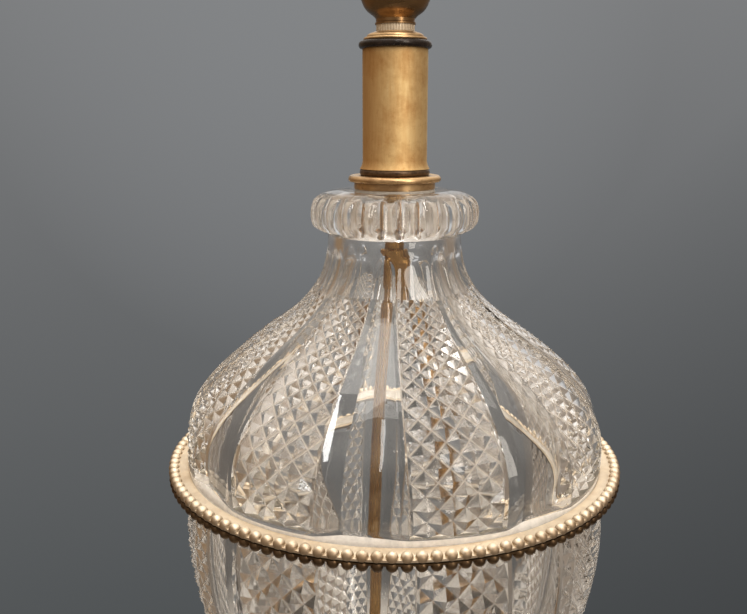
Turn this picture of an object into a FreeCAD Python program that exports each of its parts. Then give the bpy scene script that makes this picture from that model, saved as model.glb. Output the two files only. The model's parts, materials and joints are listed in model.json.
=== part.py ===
import FreeCAD, Part
import math
import os

from FreeCAD import Vector

# A cut crystal table lamp without its shade. All sizes are in millimetres.
# The lamp's axis is Z, and Z = 0 is the underside of its felt pad.

# ---- Driving dimensions -------------------------------------------------------------------------
FIT = 0.05                  # radial clearance of every bore on the pipe that it slides over

SEAM_Z = 245.0              # plane where the two crystal halves meet
CRYSTAL_WALL = 7.0
RIM_GAP = 1.4               # from the seam plane to each crystal rim
GASKET_HALF = 0.3           # half the thickness of the gasket on the seam
WEB_TOP = 0.9               # from the seam plane to the face that carries a rim seal
FLANGE_TOP = 2.3            # from the seam plane to the flange outside the glass
RING_INNER_R = 99.2
RIM_R = 107.4               # outside of both crystal rims
BEAD_COUNT = 118
BEAD_R = 2.7
BEAD_CIRCLE_R = 114.9
BEAD_HEIGHT = 1.9           # bead centres above the seam plane

PIPE_R = 4.85               # 1/8 inch lamp pipe
PIPE_BORE_R = 3.25
PIPE_FOOT_Z = 12.5
PIPE_JOIN_Z = SEAM_Z + 101.0
PIPE_TOP_Z = SEAM_Z + 225.8
CORD_R = 2.6

BASE_R = 80.0
BASE_TOP_Z = 50.0
BASE_SKIN = 1.4
PAD_THICK = 2.0

COLLAR_TOP_Z = SEAM_Z + 141.0
COLLAR_R = 42.3
COLLAR_FLUTES = 24
NECK_OPENING_R = 19.0
TUBE_R = 16.0
TUBE_WALL = 1.2
TUBE_FOOT_Z = SEAM_Z + 151.6
TUBE_TOP_Z = SEAM_Z + 209.0
TOP_RING_HEIGHT = 3.6
CAP_HEIGHT = 4.2            # neck cap, above the top ring
SOCKET_Z = SEAM_Z + 220.2   # foot of the lampholder
SOCKET_R = 16.9
SOCKET_TOP_Z = SOCKET_Z + 58.0
SWITCH_Z = SOCKET_Z + 26.0
SWITCH_SHAFT_R = 3.2
LAMP_THREAD_R = 13.1        # inside of the medium Edison screw shell

CORD_EXIT_Z = 7.5
CORD_REST_Z = CORD_R + 0.1
BORE_R = PIPE_R + FIT


# ---- Drawing helpers ----------------------------------------------------------------------------
def at(station):
    """A point of a half section, given as (radius, height)."""
    radius, height = station
    return Vector(radius, 0, height)


def smooth_edge(stations):
    spline = Part.BSplineCurve()
    spline.interpolate([at(station) for station in stations])
    return spline.toShape()


def section(*runs):
    """A closed half section. A pair ends a straight run; a list of pairs is one smooth curve."""
    here = runs[0]
    edges = []
    for run in runs[1:] + (runs[0],):
        if isinstance(run, list):
            edges.append(smooth_edge([here] + run))
            here = run[-1]
        elif run != here:
            edges.append(Part.makeLine(at(here), at(run)))
            here = run
    return Part.Face(Part.Wire(edges))


def turned(*runs):
    """A solid of revolution about the lamp's axis."""
    solid = section(*runs).revolve(Vector(0, 0, 0), Vector(0, 0, 1), 360)
    if solid.Volume < 0:
        solid.reverse()
    return solid


def ring(inner_r, outer_r, low_z, high_z):
    return turned((inner_r, low_z), (outer_r, low_z), (outer_r, high_z), (inner_r, high_z))


def rod_between(start, end, radius):
    along = end - start
    return Part.makeCylinder(radius, along.Length, start, along)


def inward(stations, depth):
    """Stations moved by depth towards the axis, square to the curve that they lie on."""
    moved = []
    for index, (radius, height) in enumerate(stations):
        before = stations[max(index - 1, 0)]
        after = stations[min(index + 1, len(stations) - 1)]
        run_r = after[0] - before[0]
        run_z = after[1] - before[1]
        length = math.hypot(run_r, run_z)
        moved.append((radius - depth * run_z / length, height + depth * run_r / length))
    return moved


def around(count, radius, first_angle=0.0):
    """Points (x, y, angle) spaced evenly on a circle."""
    for index in range(count):
        angle = first_angle + 2 * math.pi * index / count
        yield radius * math.cos(angle), radius * math.sin(angle), angle


def mirrored_at_seam(shape):
    return shape.mirror(Vector(0, 0, SEAM_Z), Vector(0, 0, 1))


def hexagon(across_flats, low_z, high_z):
    corner_r = across_flats / math.sqrt(3)
    corners = [Vector(x, y, low_z) for x, y, _ in around(6, corner_r)]
    face = Part.Face(Part.makePolygon(corners + corners[:1]))
    return face.extrude(Vector(0, 0, high_z - low_z))


def tube_along(stations, radius, bend_r):
    """A round cord through the stations, with each corner rounded to bend_r."""
    edges = []
    here = stations[0]
    for corner, after in zip(stations[1:-1], stations[2:]):
        back = (here - corner).normalize()
        ahead = (after - corner).normalize()
        half_turn = back.getAngle(ahead) / 2
        setback = bend_r / math.tan(half_turn)
        start = corner + back * setback
        end = corner + ahead * setback
        middle_way = (back + ahead).normalize()
        middle = corner + middle_way * (bend_r / math.sin(half_turn) - bend_r)
        edges.append(Part.makeLine(here, start))
        edges.append(Part.Arc(start, middle, end).toShape())
        here = end
    edges.append(Part.makeLine(here, stations[-1]))
    path = Part.Wire(edges)
    outline = Part.Wire(Part.makeCircle(radius, stations[0], stations[1] - stations[0]))
    return path.makePipeShell([outline], True, False)


# ---- Base ---------------------------------------------------------------------------------------
def felt_pad():
    return Part.makeCylinder(BASE_R - 2.0, PAD_THICK)


def base_shell():
    """Spun brass pedestal: a foot band, a hollow curve and a round table for the crystal."""
    skin = BASE_SKIN
    shell = turned(
        (BASE_R - 9, PAD_THICK),
        (BASE_R, PAD_THICK),
        (BASE_R, 12.0),
        [(BASE_R - 1.2, 14.8), (BASE_R - 4, 16.0)],
        (BASE_R - 7, 16.0),
        [(66.0, 19.5), (58.0, 28.0), (54.0, 39.0)],
        (54.0, 42.5),
        [(52.8, 44.6), (50.0, 45.4)],
        (48.0, 45.4),
        (48.0, BASE_TOP_Z),
        (BORE_R, BASE_TOP_Z),
        (BORE_R, BASE_TOP_Z - skin),
        (48.0 - skin, BASE_TOP_Z - skin),
        (48.0 - skin, 45.4 - skin),
        (50.0 - skin, 45.4 - skin),
        (54.0 - skin, 42.5 - skin),
        (54.0 - skin, 39.0),
        [(58.0 - skin, 27.4), (65.4, 18.3), (BASE_R - 7.4, 16.0 - skin)],
        (BASE_R - 4, 16.0 - skin),
        (BASE_R - skin, 12.0),
        (BASE_R - skin, PAD_THICK + skin),
        (BASE_R - 9, PAD_THICK + skin),
    )
    hole = rod_between(Vector(0, BASE_R - 5, CORD_EXIT_Z), Vector(0, BASE_R + 5, CORD_EXIT_Z), 4.25)
    return shell.cut(hole)


def base_weight():
    """Cast iron slug whose hub bears on the underside of the round table."""
    return turned(
        (BORE_R, 20.0), (52.0, 20.0), (52.0, 27.0), (46.0, 31.0), (24.0, 33.0),
        (20.0, BASE_TOP_Z - BASE_SKIN), (BORE_R, BASE_TOP_Z - BASE_SKIN),
    )


def base_lock_washer():
    washer = ring(BORE_R, 9.0, 19.0, 20.0)
    teeth = [
        Part.makeCylinder(0.9, 1.0, Vector(x, y, 19.0)) for x, y, _ in around(12, 9.0)
    ]
    return washer.cut(Part.makeCompound(teeth))


def base_nut():
    return hexagon(14.3, 14.0, 19.0).cut(Part.makeCylinder(BORE_R, 6.0, Vector(0, 0, 13.5)))


def cord_grommet():
    """Rubber bush in the foot band; its bore runs along Y."""
    body = Part.makeCylinder(4.2, 5.0, Vector(0, BASE_R - 3.2, CORD_EXIT_Z), Vector(0, 1, 0))
    flange = Part.makeCylinder(5.0, 1.7, Vector(0, BASE_R + 0.1, CORD_EXIT_Z), Vector(0, 1, 0))
    bore = Part.makeCylinder(
        CORD_R + FIT, 9.0, Vector(0, BASE_R - 5, CORD_EXIT_Z), Vector(0, 1, 0)
    )
    return body.fuse(flange).cut(bore).removeSplitter()


def bottom_cup():
    """Brass dish between the base and the lower crystal, with a rolled lip."""
    dish = turned(
        (BORE_R, BASE_TOP_Z), (48.5, BASE_TOP_Z),
        [(52.5, 55.0), (56.0, 62.5)],
        (54.6, 62.5),
        [(51.0, 55.6), (47.4, BASE_TOP_Z + 1.6)],
        (BORE_R, BASE_TOP_Z + 1.6),
    )
    lip = Part.makeTorus(56.0, 1.3, Vector(0, 0, 62.5))
    return dish.fuse(lip)


def bottom_washer():
    return ring(6.0, 42.0, BASE_TOP_Z + 1.6, BASE_TOP_Z + 3.6)


# ---- Crystal ------------------------------------------------------------------------------------
def upper_outline():
    """Outside of the upper crystal from its rim to its neck."""
    heights_above_seam = [
        (RIM_R, RIM_GAP), (108.2, 15.0), (106.2, 28.0), (91.2, 50.0),
        (66.5, 70.0), (46.4, 86.0), (36.3, 102.0), (33.6, 119.4),
    ]
    return [(radius, SEAM_Z + height) for radius, height in heights_above_seam]


def lower_outline():
    """Outside of the lower crystal from its foot to its rim."""
    return [
        (49.5, 57.0), (67.0, 84.0), (84.5, 114.0), (96.9, 145.0),
        (104.0, 170.0), (108.7, 195.0), (109.9, 220.0), (RIM_R, SEAM_Z - RIM_GAP),
    ]


def collar_flutes():
    """Upright round-ended cutters that scallop the glass collar."""
    cutter_r = 5.6
    depth = 1.5
    low_z = COLLAR_TOP_Z - 15.0
    high_z = COLLAR_TOP_Z - 6.5
    cutters = []
    for x, y, _ in around(COLLAR_FLUTES, COLLAR_R + cutter_r - depth):
        shaft = Part.makeCylinder(cutter_r, high_z - low_z, Vector(x, y, low_z))
        foot = Part.makeSphere(cutter_r, Vector(x, y, low_z))
        head = Part.makeSphere(cutter_r, Vector(x, y, high_z))
        cutters.append(shaft.fuse([foot, head]))
    return cutters


def upper_crystal():
    outer = upper_outline()
    inner = inward(outer, CRYSTAL_WALL)
    inner[0] = (outer[0][0] - CRYSTAL_WALL, SEAM_Z + RIM_GAP)
    top = COLLAR_TOP_Z
    vessel = turned(
        outer[0],
        outer[1:],
        [(37.8, top - 19.4), (41.4, top - 16.8)],
        (COLLAR_R, top - 14.0),
        (COLLAR_R, top - 9.0),
        [(41.4, top - 5.8), (38.0, top - 2.6)],
        [(33.6, top - 0.7), (29.0, top)],
        (NECK_OPENING_R, top),
        (NECK_OPENING_R, top - 4.0),
        [(24.0, top - 12.0), inner[-1]],
        inner[-2::-1],
    )
    return vessel.cut(collar_flutes())


def lower_crystal():
    outer = lower_outline()
    inner = inward(outer, -CRYSTAL_WALL)
    inner = [(2 * a[0] - b[0], 2 * a[1] - b[1]) for a, b in zip(outer, inner)]
    inner[-1] = (outer[-1][0] - CRYSTAL_WALL, outer[-1][1])
    foot = BASE_TOP_Z + 3.6
    return turned(
        (5.6, foot), (46.0, foot),
        [(48.2, foot + 1.3), outer[0]],
        outer[1:],
        inner[-1],
        inner[-2::-1],
        [(36.0, foot + 8.4), (26.0, foot + 8.0)],
        (5.6, foot + 8.0),
    )


# ---- Beaded seam --------------------------------------------------------------------------------
def upper_bead_ring():
    """Brass ring: a thin web between the rims, a step that centres the glass, and sunk beads."""
    low = SEAM_Z + GASKET_HALF
    web = SEAM_Z + WEB_TOP
    top = SEAM_Z + FLANGE_TOP
    step_r = RIM_R + 0.5
    edge_r = BEAD_CIRCLE_R + 1.7
    flange = turned(
        (RING_INNER_R, low), (edge_r, low), (edge_r, web + 0.4), (edge_r - 3.6, top),
        (step_r, top), (step_r, web), (RING_INNER_R, web),
    )
    beads = [
        Part.makeSphere(BEAD_R, Vector(x, y, SEAM_Z + BEAD_HEIGHT), Vector(0, 0, 1))
        for x, y, _ in around(BEAD_COUNT, BEAD_CIRCLE_R)
    ]
    below = Part.makeBox(300, 300, 10, Vector(-150, -150, low - 10))
    return flange.multiFuse(beads).cut(below)


def upper_rim_seal():
    return ring(RIM_R - CRYSTAL_WALL, RIM_R - 0.2, SEAM_Z + WEB_TOP, SEAM_Z + RIM_GAP)


def seam_gasket():
    return ring(RING_INNER_R + 0.2, 114.6, SEAM_Z - GASKET_HALF, SEAM_Z + GASKET_HALF)


# ---- Neck ---------------------------------------------------------------------------------------
def neck_seal():
    return ring(NECK_OPENING_R + 0.2, 20.0, COLLAR_TOP_Z, COLLAR_TOP_Z + 0.8)


def vase_cap():
    """Two-tier brass cap over the neck opening, with a skirt below and a boss above."""
    seat = COLLAR_TOP_Z + 0.8
    return turned(
        (BORE_R, seat), (17.0, seat), (17.0, seat - 5.0), (18.4, seat - 5.0), (18.4, seat),
        (20.3, seat), (20.3, seat + 3.2), (22.6, seat + 3.6),
        [(23.2, seat + 4.6), (22.9, seat + 5.8), (21.6, seat + 6.6)],
        (12.9, seat + 6.6), (12.9, seat + 12.0), (BORE_R, seat + 12.0),
    )


def foot_ring():
    """Dark rounded ring between the cap and the foot of the neck tube."""
    low = COLLAR_TOP_Z + 7.4
    middle = (low + TUBE_FOOT_Z) / 2
    return turned(
        (12.9 + FIT, low), (16.8, low),
        [(17.3, low + 0.7), (17.5, middle), (17.3, TUBE_FOOT_Z - 0.7), (16.8, TUBE_FOOT_Z)],
        (12.9 + FIT, TUBE_FOOT_Z),
    )


def neck_tube():
    inner = TUBE_R - TUBE_WALL
    return turned(
        (inner, TUBE_FOOT_Z), (17.4, TUBE_FOOT_Z),
        [(16.6, TUBE_FOOT_Z + 1.4), (TUBE_R, TUBE_FOOT_Z + 4.0)],
        (TUBE_R, TUBE_TOP_Z), (inner, TUBE_TOP_Z),
    )


def top_ring():
    """Dark rounded ring that covers the top edge of the neck tube."""
    low = TUBE_TOP_Z
    high = low + TOP_RING_HEIGHT
    return turned(
        (11.0 + FIT, low), (16.6, low),
        [(17.6, low + 0.7), (17.9, (low + high) / 2), (17.6, high - 0.7), (16.6, high)],
        (11.0 + FIT, high),
    )


def neck_cap():
    """Turned cap with a rim, a groove and a low dome, and a boss inside the neck tube."""
    seat = TUBE_TOP_Z + TOP_RING_HEIGHT
    return turned(
        (BORE_R, seat - 8.0), (11.0, seat - 8.0), (11.0, seat), (15.1, seat),
        [(15.5, seat + 0.8), (15.1, seat + 1.6)],
        (14.0, seat + 1.6), (14.0, seat + 2.0),
        [(13.4, seat + 3.0), (11.8, seat + 3.7), (10.4, seat + CAP_HEIGHT)],
        (BORE_R, seat + CAP_HEIGHT),
    )


def knurled_collar():
    low = TUBE_TOP_Z + TOP_RING_HEIGHT + CAP_HEIGHT
    collar = ring(BORE_R, 9.3, low, SOCKET_Z)
    grooves = [Part.makeCylinder(0.35, 9.0, Vector(x, y, low - 2)) for x, y, _ in around(40, 9.4)]
    return collar.cut(grooves)


# ---- Pipe ---------------------------------------------------------------------------------------
def lower_pipe():
    return ring(PIPE_BORE_R, PIPE_R, PIPE_FOOT_Z, PIPE_JOIN_Z - 0.5)


def upper_pipe():
    return ring(PIPE_BORE_R, PIPE_R, PIPE_JOIN_Z + 0.5, PIPE_TOP_Z)


def pipe_coupling():
    low = PIPE_JOIN_Z - 11.0
    high = PIPE_JOIN_Z + 11.0
    return turned(
        (BORE_R, low), (6.2, low), (7.0, low + 0.8), (7.0, high - 0.8), (6.2, high),
        (BORE_R, high),
    )


# ---- Lampholder ---------------------------------------------------------------------------------
def socket_cap():
    """Spun brass cup that holds the bottom of the lampholder."""
    foot = SOCKET_Z
    return turned(
        (BORE_R, foot), (9.9, foot), (9.9, foot + 0.8), (9.5, foot + 1.1), (9.5, foot + 2.6),
        [(10.8, foot + 4.0), (13.5, foot + 6.0), (16.0, foot + 9.8), (17.6, foot + 14.4)],
        (17.6, foot + 18.0), (18.1, foot + 18.4), (18.1, foot + 19.8), (16.95, foot + 19.8),
        (16.95, foot + 14.6),
        [(15.1, foot + 10.3), (12.8, foot + 6.9), (10.2, foot + 5.0)],
        (8.6, foot + 4.2), (BORE_R, foot + 4.2),
    )


def shell_mouth(radius):
    """Round opening for the switch shaft, through one side of the lampholder."""
    return rod_between(Vector(8, 0, SWITCH_Z), Vector(24, 0, SWITCH_Z), radius)


def socket_shell():
    low = SOCKET_Z + 15.0
    top = SOCKET_TOP_Z
    shell = turned(
        (SOCKET_R - 0.6, low), (SOCKET_R, low), (SOCKET_R, top - 12.0),
        (SOCKET_R + 0.5, top - 11.4), (SOCKET_R + 0.5, top - 10.4), (SOCKET_R, top - 9.8),
        (SOCKET_R, top - 2.0), (SOCKET_R + 0.7, top - 1.2), (SOCKET_R + 0.7, top),
        (SOCKET_R - 0.6, top),
    )
    return shell.cut(shell_mouth(SWITCH_SHAFT_R + 0.6))


def shell_liner():
    outer = SOCKET_R - 0.7
    liner = ring(outer - 0.8, outer, SOCKET_Z + 16.0, SOCKET_TOP_Z - 1.0)
    return liner.cut(shell_mouth(SWITCH_SHAFT_R + 0.8))


def switch_block():
    """Moulded block with two flats for the terminals and a bore for the switch shaft."""
    low = SOCKET_Z + 15.0
    height = 17.0
    block = Part.makeCylinder(15.0, height, Vector(0, 0, low))
    for side in (-1, 1):
        flat = Part.makeBox(40, 10, height - 3, Vector(-20, -5 + side * 15.6, low))
        block = block.cut(flat)
    block = block.cut(rod_between(Vector(3, 0, SWITCH_Z), Vector(20, 0, SWITCH_Z), SWITCH_SHAFT_R + FIT))
    for end in terminal_ends():
        block = block.cut(rod_between(end, end * 0.5 + Vector(0, 0, end.z * 0.5), 1.55))
    return block


def terminal_ends():
    """Where the terminal screws enter the flats of the switch block."""
    return [Vector(0, side * 10.6, SOCKET_Z + 21.0) for side in (-1, 1)]


def terminal_screws():
    screws = []
    for end in terminal_ends():
        outward = Vector(0, math.copysign(1, end.y), 0)
        shank = Part.makeCylinder(1.5, 5.0, end - outward * 5.0, outward)
        head = Part.makeCylinder(3.0, 1.8, end + outward * 1.3, outward)
        neck = Part.makeCylinder(1.5, 1.4, end, outward)
        slot = Part.makeBox(7, 1.4, 0.8, end + Vector(-3.5, -0.7 + outward.y * 2.9, -0.4))
        screws.append(shank.fuse([neck, head]).removeSplitter().cut(slot))
    return Part.makeCompound(screws)


def screw_shell():
    """Rolled Edison thread, drawn as a row of rings round a smooth bore above a narrower foot."""
    low = SOCKET_Z + 32.0
    top = SOCKET_TOP_Z - 2.0
    step = low + 3.0
    pitch = 3.63
    wall = 0.45
    inner = LAMP_THREAD_R
    foot_r = inner - 0.9
    body = turned(
        (5.5, low), (foot_r + wall, low), (foot_r + wall, step - wall),
        (inner + wall, step - wall), (inner + wall, top), (inner, top), (inner, step),
        (foot_r, step), (foot_r, low + wall), (5.5, low + wall),
    )
    rolls = []
    height = step + pitch / 2
    while height < top - pitch / 2:
        rolls.append(Part.makeTorus(inner + wall, 0.55, Vector(0, 0, height)))
        height += pitch
    bore = Part.makeCylinder(inner, top - step, Vector(0, 0, step))
    return body.fuse(rolls).cut(bore)


def centre_contact():
    low = SOCKET_Z + 32.0
    return turned((0.0, low), (4.0, low), (4.0, low + 0.8), (2.4, low + 2.2), (0.0, low + 2.4))


def switch_shaft():
    start = Vector(3.5, 0, SWITCH_Z)
    return rod_between(start, Vector(28.0, 0, SWITCH_Z), SWITCH_SHAFT_R)


def switch_knob():
    """Ribbed barrel pressed on the shaft's end."""
    start = 21.0
    length = 13.0
    barrel = Part.makeCylinder(6.5, length, Vector(start, 0, SWITCH_Z), Vector(1, 0, 0))
    barrel = barrel.makeFillet(1.2, [barrel.Edges[0], barrel.Edges[2]])
    grooves = []
    for y, z, _ in around(16, 6.9):
        grooves.append(
            Part.makeCylinder(0.8, length, Vector(start + 2.5, y, SWITCH_Z + z), Vector(1, 0, 0))
        )
    barrel = barrel.cut(grooves)
    return barrel.cut(rod_between(Vector(start - 1, 0, SWITCH_Z), Vector(28.0, 0, SWITCH_Z), SWITCH_SHAFT_R))


# ---- Wiring -------------------------------------------------------------------------------------
PLUG_START = Vector(-165.0, 128.0, CORD_REST_Z)


def power_cord():
    """Round cord from the lampholder down the pipe, out of the foot band and along the table."""
    stations = [
        Vector(0, 0, PIPE_TOP_Z + 2.0),
        Vector(0, 0, CORD_EXIT_Z),
        Vector(0, BASE_R + 12.0, CORD_EXIT_Z),
        Vector(0, BASE_R + 22.0, CORD_REST_Z),
        Vector(0, BASE_R + 68.0, CORD_REST_Z),
    ]
    drop = tube_along(stations, CORD_R, 5.0)
    loop_r = 45.0
    turn = stations[-1]
    far = Vector(-loop_r, turn.y + loop_r, CORD_REST_Z)
    quarter = math.sqrt(0.5)
    middle = Vector(-loop_r * (1 - quarter), turn.y + loop_r * quarter, CORD_REST_Z)
    second = Vector(PLUG_START.x, PLUG_START.y + loop_r + 20.0, CORD_REST_Z)
    path = Part.Wire([
        Part.Arc(turn, middle, far).toShape(),
        Part.makeLine(far, Vector(second.x + loop_r, far.y, CORD_REST_Z)),
        Part.Arc(
            Vector(second.x + loop_r, far.y, CORD_REST_Z),
            Vector(second.x + loop_r * (1 - quarter), far.y - loop_r * (1 - quarter), CORD_REST_Z),
            Vector(second.x, far.y - loop_r, CORD_REST_Z),
        ).toShape(),
        Part.makeLine(Vector(second.x, far.y - loop_r, CORD_REST_Z), PLUG_START),
    ])
    outline = Part.Wire(Part.makeCircle(CORD_R, turn, Vector(0, 1, 0)))
    run = path.makePipeShell([outline], True, False)
    return drop.fuse(run).removeSplitter()


def lead_wires():
    """Two insulated cores from the cord's end to the terminal screws."""
    leads = []
    foot = PIPE_TOP_Z + 2.0
    for side in (-1, 1):
        stations = [
            Vector(0, side * 1.2, foot),
            Vector(0, side * 1.2, foot + 4.0),
            Vector(0, side * 13.0, foot + 6.5),
            Vector(0, side * 13.0, SOCKET_Z + 18.0),
        ]
        leads.append(tube_along(stations, 0.9, 1.6))
    return Part.makeCompound(leads)


def plug_body():
    """Moulded two-pin plug lying on the table, its cord entry facing +Y."""
    end = PLUG_START
    height = 13.0
    back = Part.makeBox(24, 20, height, Vector(end.x - 12, end.y - 26, 0.1))
    back = back.makeFillet(3.0, back.Edges)
    neck = Part.makeCylinder(4.6, 14.0, Vector(end.x, end.y - 14.0, 4.8), Vector(0, 1, 0))
    body = back.fuse(neck)
    cord_seat = Part.makeCylinder(CORD_R, 3.0, end - Vector(0, 3.0, 0), Vector(0, 1, 0))
    return body.cut(cord_seat)


def plug_blades():
    face_y = PLUG_START.y - 26.0
    blades = []
    for side, width in ((-1, 6.3), (1, 7.9)):
        corner = Vector(PLUG_START.x + side * 6.35 - 0.75, face_y - 17.0, 6.6 - width / 2)
        blade = Part.makeBox(1.5, 17.0, width, corner)
        hole = Part.makeCylinder(
            1.5, 4.0, Vector(corner.x - 1, face_y - 13.5, 6.6), Vector(1, 0, 0)
        )
        blades.append(blade.cut(hole))
    return Part.makeCompound(blades)


# ---- Assembly -----------------------------------------------------------------------------------
def assembly():
    nodes = {
        build.__name__: build()
        for build in (
            felt_pad, base_shell, base_weight, base_lock_washer, base_nut, cord_grommet,
            bottom_cup, bottom_washer, upper_crystal, lower_crystal, upper_bead_ring,
            upper_rim_seal, seam_gasket, neck_seal, vase_cap, foot_ring, neck_tube, top_ring,
            neck_cap, knurled_collar, lower_pipe, upper_pipe, pipe_coupling, socket_cap,
            socket_shell, shell_liner, switch_block, terminal_screws, screw_shell,
            centre_contact, switch_shaft, switch_knob, power_cord, lead_wires, plug_body,
            plug_blades,
        )
    }
    nodes["lower_bead_ring"] = mirrored_at_seam(nodes["upper_bead_ring"])
    nodes["lower_rim_seal"] = mirrored_at_seam(nodes["upper_rim_seal"])
    return nodes


def write_parts(nodes):
    os.makedirs("parts", exist_ok=True)
    for name, shape in sorted(nodes.items()):
        shape.exportStep("parts/" + name + ".step")


write_parts(assembly())
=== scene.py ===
import json
import math

import bmesh
import bpy
import numpy as np
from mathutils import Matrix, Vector


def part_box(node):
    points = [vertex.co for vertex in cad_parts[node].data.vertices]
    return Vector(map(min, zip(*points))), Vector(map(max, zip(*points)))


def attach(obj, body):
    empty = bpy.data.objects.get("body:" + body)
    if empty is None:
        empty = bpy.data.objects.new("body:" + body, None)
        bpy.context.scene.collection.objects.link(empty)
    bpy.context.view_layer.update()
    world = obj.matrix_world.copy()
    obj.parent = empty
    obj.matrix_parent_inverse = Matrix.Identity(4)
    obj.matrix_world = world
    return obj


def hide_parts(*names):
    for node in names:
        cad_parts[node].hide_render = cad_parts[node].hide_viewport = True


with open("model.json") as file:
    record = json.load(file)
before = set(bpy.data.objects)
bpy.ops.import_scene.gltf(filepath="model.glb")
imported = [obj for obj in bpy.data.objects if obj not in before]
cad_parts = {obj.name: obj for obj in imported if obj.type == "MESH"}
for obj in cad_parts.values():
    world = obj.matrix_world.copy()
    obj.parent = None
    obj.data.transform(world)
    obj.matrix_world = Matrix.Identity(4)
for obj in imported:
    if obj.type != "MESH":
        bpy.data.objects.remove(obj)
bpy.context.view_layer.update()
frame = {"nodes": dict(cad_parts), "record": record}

# A cut crystal table lamp. Everything is in metres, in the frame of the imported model. The CAD gives
# the brass, and the two crystals and the felt are rebuilt here with their cut and worn surfaces.

MM = 0.001
seam_low, seam_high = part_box("seam_gasket")
SEAM_Z = (seam_low.z + seam_high.z) / 2
RIM_GAP = (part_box("upper_rim_seal")[1].z - SEAM_Z) / MM     # from the seam to a glass rim, in mm

# ---- The cutting pattern of the crystal ---------------------------------------------------------
SECTORS = 8                         # one diamond panel and one plain flute in each
FRONT_FLUTE = math.radians(-8.7)    # azimuth of the flute nearest the viewer, 0 at -Y
LOWER_TURN = math.radians(1.4)      # the lower crystal sits slightly turned under the upper one
PANEL_COLUMNS = 7                   # half diamonds across a panel
FLUTE_COLUMNS = 25
LEFT_BEVEL = 7                      # of those, in the wide bevel on the left of a flute
RIGHT_BEVEL = 2                     # and in the narrow one on its right
FACET_TURN = math.radians(5.3)      # how far the flat of a flute is turned to the left
FACET_EDGE = 0.005                  # depth of the flat at the right bevel, over the radius
COLUMNS = PANEL_COLUMNS + FLUTE_COLUMNS + 4     # with a groove bottom on each side of the panel
FINE_ROWS = 4                       # rows of a flute beside each row of half diamonds
PANEL_SPAN_WIDE = math.radians(21.0)    # beside the seam
PANEL_SPAN_NARROW = math.radians(26.0)  # at the neck and the foot, where the flutes close up
GROOVE_SPAN = math.radians(1.1)
GROOVE_DEPTH = 0.7                  # over the depth of a valley between diamonds
DIAMOND_DEPTH = 0.46                # valley depth as a share of half a diamond's width
DIAMOND_ASPECT = 1.05               # a diamond's height over its width
NO_PANEL = np.zeros(PANEL_COLUMNS + 1)  # depths across a panel that is not cut
WALL = 7.0 * MM
LOWER_LINES = 0.45                  # strength of the frosted lines on the lower crystal

# ---- The rim, neck and collar -------------------------------------------------------------------
RIM_OUTER_R = (107.0, 106.4)        # in mm, of a rim above and below its small chamfer
RIM_INNER_R = (100.7, 101.1)        # and the same inside
RIM_CHAMFERS = (0.4, 0.5)           # height of the chamfer outside and inside, in mm
RIM_RIPPLE = 0.7 * MM               # unevenness of the edge of the ground rim
RIM_RIPPLES = 5
FLUTE_FADE = 4.0 * MM               # length over which a flute runs out at the rim
NECK_CUT_DEPTH = 1.5 * MM
NECK_ARCH_DROP = 6.0 * MM           # of the round top of a neck cut at its sides
COLLAR_CELLS = 24
COLLAR_DEPTH = 2.3 * MM
COLLAR_TURN = math.radians(3.0)
COLLAR_CUT_WIDTH = 0.82             # share of a cell that is cut
COLLAR_CUT_END = 4.3 * MM           # height of the round end of a cut
BORE_HAZE = 0.81                    # the bore of the neck is a little misty
RIDGE_FROST = 1.6                   # and the ridges between the collar's cuts are worn white

# ---- The bead rings -----------------------------------------------------------------------------
BEAD_RADIUS = 2.7 * MM
BEAD_RISE = 2.3 * MM                # of the top of a bead above the flange
# Brown round the foot of each bead: tarnish and painted shade.
BEAD_TARNISH_AND_SHADE = 0.75

# ---- The felt -----------------------------------------------------------------------------------
FELT_FRAY = 0.35 * MM

# ---- Looks that differ from the material slot of the record -------------------------------------
NODE_LOOKS = {
    "upper_rim_seal": "clear_seal",
    "lower_rim_seal": "clear_seal",
    "neck_seal": "clear_seal",
    "neck_tube": "tube_brass",
    "foot_ring": "brown_bronze",
    "upper_bead_ring": "beaded_brass",
    # The lower bead ring gets a near-black copy of the brass: painted shade, as it faces the dark
    # below.
    "lower_bead_ring": "painted_shade_beads",
    # The socket cap and shell get a darker copy of the brass: patina and painted shade.
    "socket_cap": "cup_patina_and_shade",
    "socket_shell": "cup_patina_and_shade",
}


def unit(vector):
    return vector / np.linalg.norm(vector)


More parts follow.
